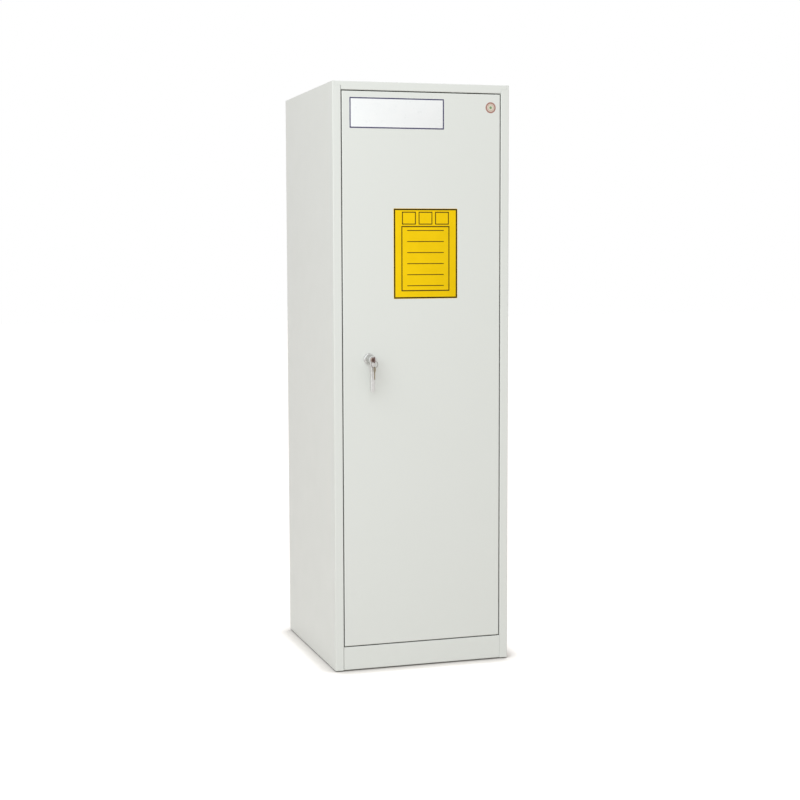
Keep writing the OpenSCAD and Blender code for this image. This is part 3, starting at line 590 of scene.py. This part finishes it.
for box_x in (middle_x - box_pitch, middle_x, middle_x + box_pitch):
    marks.append(framed(tree, box_x, box_z, box_half, box_rise, 3.0))
tree.links.new(mixed(tree, greatest(tree, marks), yellow, (0.035, 0.02, 0.006, 1)), shader["Base Color"])
tree.links.new(between(tree, speckled(tree, 50.0, 3.0), 0.28, 0.38), shader["Roughness"])
raised(tree, shader, speckled(tree, 350.0, 2.0), 0.1, 0.0001)
stands_for(smoothed(contents_card), "door", "yellow_card", card_print, "contents_card")

# ---------- Round badge ----------
# A small round sticker with plain printed rings is stuck near the door's top right corner. It has a
# soft clear dome.
badge_x, badge_z, badge_r = 235, 1827, 18
badge = turned("ringed_badge", [(door_face, 0), (door_face, badge_r - 0.05), (door_face - 0.2, badge_r),
                                (door_face - 0.38, badge_r - 0.35), (door_face - 0.5, badge_r - 1.6),
                                (door_face - 0.56, badge_r - 5), (door_face - 0.6, 6), (door_face - 0.6, 0)],
               (badge_x, badge_z))
badge_print, tree, shader = finished("badge_with_rings", coat=0.6, Coat_Roughness=0.12)
from_middle = put(tree, "VectorMath", {0: put(tree, "TexCoord").outputs["Object"],
                                       1: (badge_x / 1000, 0, badge_z / 1000)}, operation="SUBTRACT")
flat = put(tree, "VectorMath", {0: from_middle.outputs[0], 1: (1, 0, 1)}, operation="MULTIPLY")
distance = put(tree, "VectorMath", {0: flat.outputs[0]}, operation="LENGTH").outputs["Value"]
share = put(tree, "Math", {0: distance, 1: badge_r / 1000}, operation="DIVIDE").outputs[0]
waver = between(tree, speckled(tree, 900.0, 2.0), -0.01, 0.01)
wobble = put(tree, "Math", {0: share, 1: waver}, operation="ADD")
rings = put(tree, "ValToRGB", {0: wobble.outputs[0]})
ramp = rings.color_ramp
ramp.interpolation = "CONSTANT"
ramp.elements[0].color = (0.16, 0.3, 0.12, 1)
ramp.elements[1].position = 0.24
ramp.elements[1].color = (0.72, 0.66, 0.55, 1)
for at, colour in ((0.5, (0.42, 0.2, 0.15, 1)), (0.56, (0.68, 0.6, 0.5, 1)), (0.72, (0.36, 0.15, 0.12, 1)),
                   (0.95, (0.6, 0.5, 0.44, 1))):
    ramp.elements.new(at).color = colour
tree.links.new(rings.outputs[0], shader["Base Color"])
tree.links.new(between(tree, speckled(tree, 200.0, 3.0), 0.3, 0.42), shader["Roughness"])
raised(tree, shader, speckled(tree, 500.0, 2.0), 0.08, 0.0001)
stands_for(smoothed(badge, 25), "door", "badge", badge_print, "round_badge")

# ---------- Lock's rose, nut, cam and rods ----------
# A round die-cast rose, satin chromed, covers the hole in the door. Its spigot is held by a nut
# behind the skin, and the zinc-plated cam and rods run inside the door.
satin_polish, given, out = effect(
    "satin_polish",
    [("Colour", "Color", (0.72, 0.72, 0.72, 1)), ("Dull Colour", "Color", (0.6, 0.6, 0.61, 1)),
     ("Gloss", "Float", 0.25), ("Grit", "Vector", (900.0, 900.0, 60.0))],
    [("Colour", "Color"), ("Roughness", "Float"), ("Height", "Float")])
tree = satin_polish
grit_place = put(tree, "VectorMath", {0: put(tree, "TexCoord").outputs["Object"], 1: given["Grit"]},
                 operation="MULTIPLY")
grit = put(tree, "TexNoise", {"Vector": grit_place.outputs[0], "Scale": 1.0, "Detail": 3.0}).outputs["Fac"]
dullness = between(tree, speckled(tree, 120.0, 4.0), 0.0, 1.0)
tree.links.new(mixed(tree, dullness, given["Colour"], given["Dull Colour"]), out["Colour"])
rough = put(tree, "Math", {0: given["Gloss"], 1: between(tree, grit, -0.05, 0.08)}, operation="ADD")
tree.links.new(rough.outputs[0], out["Roughness"])
tree.links.new(grit, out["Height"])


def polished(name, colour, dull_colour, gloss, grit=(900.0, 900.0, 60.0), relief=0.12):
    material, tree, shader = finished(name, Metallic=1.0)
    metal = put(tree, "Group", node_tree=satin_polish)
    for label, value in (("Colour", colour), ("Dull Colour", dull_colour), ("Gloss", gloss), ("Grit", grit)):
        metal.inputs[label].default_value = value
    tree.links.new(metal.outputs["Colour"], shader["Base Color"])
    tree.links.new(metal.outputs["Roughness"], shader["Roughness"])
    raised(tree, shader, metal.outputs["Height"], relief, 0.0001)
    return material


satin_chrome = polished("satin_chrome", (0.62, 0.615, 0.605, 1), (0.52, 0.515, 0.505, 1), 0.33)
lock_at = (-182.5, 1019)
rose = turned("lock_rose", [
    (door_face, 17.8), (door_face - 0.3, 18),
    *[(door_face - 4.2 - b, 15.2 + a) for a, b in arc(0, 0, 2.8, 0, 90, 6)],
    (door_face - 7, 13.2), (door_face - 6.6, 12.8), (door_face - 6.6, 12.2), (door_face - 7, 11.8),
    (door_face - 7, 8.6), (door_face - 6.7, 8.2), (door_face + 1.2, 8.2), (door_face + 1.2, 10),
    (door_face, 10)], lock_at, closed=True)
stands_for(smoothed(rose), "door", "lock_chrome", satin_chrome, "handle_rose")
dress(bright_zinc, "lock_nut", "handle_spindle", "rod_cam", "cam_screw", "upper_rod", "lower_rod")

# ---------- Lever ----------
# The lever and its round hub are one zinc die-casting, satin chromed. It hangs down along the door,
# a finger's width off it, and is held on the square spindle by the plug that the key turns.


def lofted(name, sections):
    """A closed bar from sections (x, y, z, half width, half depth, squareness), from end to end."""
    around = 32
    points, faces = [], []
    for x, y, z, wide, deep, square in sections:
        for i in range(around):
            turn = 2 * math.pi * i / around
            a, b = math.cos(turn), math.sin(turn)
            points.append((x + wide * math.copysign(abs(a) ** (2 / square), a),
                           y + deep * math.copysign(abs(b) ** (2 / square), b), z))
    for ring in range(len(sections) - 1):
        first, second = ring * around, (ring + 1) * around
        for i in range(around):
            j = (i + 1) % around
            faces.append((first + i, first + j, second + j, second + i))
    faces += [tuple(range(around)), tuple(range((len(sections) - 1) * around, len(sections) * around))]
    return made_of(name, points, faces)


hub_front, hub_back, neck_end, neck_r = -308.0, -273.2, -258.9, 8
hub = turned("hub", [
    (hub_front, 0), (hub_front, 11.4), (hub_front + 0.35, 12.1), (hub_front + 1.1, 12.45),
    (hub_front + 20, 12.5), (hub_back - 7.3, 12.6), (hub_back - 4.3, 13.1), (hub_back - 2, 14.2),
    (hub_back - 0.8, 15.3), (hub_back, 15.4), (hub_back, neck_r), (neck_end, neck_r), (neck_end, 0)], lock_at)
bar = []
for down, wide, deep, square in (
        (3, 9.8, 4.4, 4), (10, 9.0, 4.4, 4), (16, 8.2, 4.35, 4), (24, 7.5, 4.3, 4), (36, 7.1, 4.2, 4),
        (55, 6.9, 4.0, 4), (75, 7.0, 3.9, 4), (90, 7.2, 3.8, 4), (95.5, 7.2, 3.75, 4),
        (98.5, 6.7, 3.6, 3.6), (100.8, 5.6, 3.2, 3.2), (102.3, 3.9, 2.4, 2.8), (103, 1.6, 1.0, 2.4)):
    bar.append((lock_at[0], hub_front + deep + 0.1, lock_at[1] - down, wide, deep, square))
lever = joined("lever_and_hub", [hub, lofted("bar", bar)])
fuse = lever.modifiers.new("fuse", "REMESH")
fuse.mode, fuse.voxel_size = "VOXEL", 0.0005
ease = lever.modifiers.new("ease", "SMOOTH")
ease.factor, ease.iterations = 0.5, 6
settled(lever)
bore_end, bore_r = -287, 6.65
cut_with(lever, turned("plug_bore", [(hub_front - 2, 0), (hub_front - 2, bore_r), (bore_end, bore_r),
                                     (bore_end, 0)], lock_at))
stands_for(smoothed(lever, 40), "handle", "lock_chrome", satin_chrome, "lever_handle")

# ---------- Plug ----------
# The lock's plug is turned from brass, nickel plated, with a broached keyway. It stands a little
# proud of the hub's front, and turns with the key.
nickelled_brass = polished("nickelled_brass", (0.4, 0.32, 0.28, 1), (0.27, 0.2, 0.17, 1), 0.3,
                           (500.0, 500.0, 500.0))
plug_face, plug_end, plug_r, flange_back = hub_front - 0.8, bore_end - 0.3, 6.5, hub_front - 0.02
plug = turned("lock_plug_turned", [
    (plug_face, 0), (plug_face, 5.6), (plug_face + 0.15, 6.3), (plug_face + 0.3, 7.3),
    (plug_face + 0.5, 7.6), (flange_back, 7.7), (flange_back, plug_r), (plug_end, plug_r),
    (plug_end, 0)], lock_at)
way_end, way_half, way_rise = -289.3, 1.2, 3.95
cut_with(plug, boxes("keyway", ((lock_at[0] - way_half, plug_face - 3.2, lock_at[1] - way_rise),
                                (lock_at[0] + way_half, way_end, lock_at[1] + way_rise))))
stands_for(smoothed(plug), "key", "lock_brass", nickelled_brass, "lock_plug")

# ---------- Keys ----------
# Two flat keys are stamped from nickel-plated brass. Their round bows have a hole for the ring, and
# their blades are milled with a groove on each side and cut with the same five notches.


def key_outline():
    """The bow round the origin and the blade along +U, with its notches on the +V side."""
    edge, shoulder, tip, bow_r, notches, pitch = 3.75, 13.3, 31.8, 10, 5, 3
    meet = math.degrees(math.asin(edge / bow_r))
    outline = arc(0, 0, bow_r, meet, 360 - meet, 56)
    outline += [(tip - 2, -edge), (tip - 0.6, -edge + 0.6), (tip, 2 - edge), (tip, 0)]
    for i in range(notches):
        outline += [(tip - 1 - pitch * i, edge - 1 - 1.2 * (i % 2)),
                    (tip - 2.5 - pitch * i, edge - 2.6 + 0.8 * (i % 2))]
    return outline + [(shoulder + 1.0, edge)]


def stamped(name, outlines, thickness, edge):
    """A flat piece with holes and slightly rounded edges, lying in X and Y about z 0."""
    drawn = bpy.data.curves.new(name, "CURVE")
    drawn.dimensions, drawn.fill_mode = "2D", "BOTH"
    drawn.extrude, drawn.bevel_depth, drawn.bevel_resolution = (thickness / 2 - edge) / 1000, edge / 1000, 2
    drawn.offset = -edge / 1000
    for outline in outlines:
        spline = drawn.splines.new("POLY")
        spline.points.add(len(outline) - 1)
        for point, (u, v) in zip(spline.points, outline):
            point.co = (u / 1000, v / 1000, 0, 1)
        spline.use_cyclic_u = True
    holder = bpy.data.objects.new(name, drawn)
    scene.collection.objects.link(holder)
    bpy.context.view_layer.update()
    shape = bpy.data.meshes.new_from_object(holder.evaluated_get(bpy.context.evaluated_depsgraph_get()))
    bpy.data.objects.remove(holder)
    piece = bpy.data.objects.new(name, shape)
    scene.collection.objects.link(piece)
    welded = bmesh.new()
    welded.from_mesh(shape)
    bmesh.ops.remove_doubles(welded, verts=welded.verts, dist=1e-6)
    welded.to_mesh(shape)
    welded.free()
    return piece


def key_blank(name):
    hole_off, hole_r, thickness = -3, 4, 2.0
    groove_from, groove_to, web = 11.5, 29.5, 0.62
    hole = arc(hole_off, 0, hole_r, 0, 360, 40)[:-1]
    key = stamped(name, [key_outline(), hole], thickness, 0.22)
    grooves = boxes("grooves", ((groove_from, -1.4, web), (groove_to, 0.1, thickness)),
                    ((groove_from, -0.6, -thickness), (groove_to, 0.9, -web)))
    cut_with(key, grooves)
    return key


key_metal = polished("key_metal", (0.33, 0.27, 0.18, 1), (0.2, 0.16, 0.1, 1), 0.3, (400.0, 400.0, 400.0))
# The key in the lock gets a darker copy of the same key metal, which paints the shade it lies in.
shaded_key_metal = polished("shaded_key_metal", (0.19, 0.12, 0.11, 1), (0.09, 0.055, 0.05, 1), 0.32,
                          (400.0, 400.0, 400.0))
into_lock = Matrix(((0, 0, 1, 0), (1, 0, 0, 0), (0, 1, 0, 0), (0, 0, 0, 1)))
hanging = Matrix(((0, 0, 1, 0), (0, 1, 0, 0), (-1, 0, 0, 0), (0, 0, 0, 1)))
bow_in_lock = (lock_at[0] / 1000, -0.3213, lock_at[1] / 1000)
bow_on_ring = (lock_at[0] / 1000, -0.3243, 0.988278)
key_in_lock = key_blank("key_in_lock")
key_in_lock.data.transform(Matrix.Translation(bow_in_lock) @ into_lock)
stands_for(smoothed(key_in_lock, 30), "key", "key_metal", shaded_key_metal, "lock_key")
second_key = key_blank("second_key")
second_key.data.transform(Matrix.Translation(bow_on_ring) @ hanging)
stands_for(smoothed(second_key, 30), "spare", "key_metal", key_metal, "spare_key")

# ---------- Key ring ----------
# A split ring is wound in two flat turns from nickel-plated spring wire, and holds both keys.
ring_steel = polished("ring_steel", (0.12, 0.075, 0.07, 1), (0.06, 0.035, 0.033, 1), 0.3,
                      (700.0, 700.0, 700.0))
ring_middle, ring_r = (lock_at[0], -324.3, 1005.075), 11
first_end, wound = 115, 712    # degrees
wire_half, wire_rise, beside = 0.44, 0.37, 0.39
step_at, step_over = 0.86, 0.26    # turns, where the wire steps over to lie beside its first turn
around, along = 10, 156
points, faces = [], []
for i in range(along + 1):
    gone = wound * i / along
    angle = math.radians(first_end + gone)
    part = gone / 360
    ramp_up = min(max((part - step_at) / step_over, 0), 1)
    shift = -beside + 2 * beside * (ramp_up * ramp_up * (3 - 2 * ramp_up))
    small = 0.55 if i in (0, along) else 1.0
    for k in range(around):
        turn = 2 * math.pi * k / around
        a, b = math.cos(turn), math.sin(turn)
        off = ring_r + wire_half * small * math.copysign(abs(a) ** 0.6, a)
        side = shift + wire_rise * small * math.copysign(abs(b) ** 0.6, b)
        points.append((ring_middle[0] + off * math.cos(angle), ring_middle[1] + side,
                       ring_middle[2] + off * math.sin(angle)))
    if i:
        first, second = (i - 1) * around, i * around
        faces += [(first + k, first + (k + 1) % around, second + (k + 1) % around, second + k)
                  for k in range(around)]
faces += [tuple(range(around)), tuple(range(along * around, (along + 1) * around))]
split_ring = made_of("split_ring", points, faces)
stands_for(smoothed(split_ring, 50), "ring", "ring_steel", ring_steel, "key_ring")
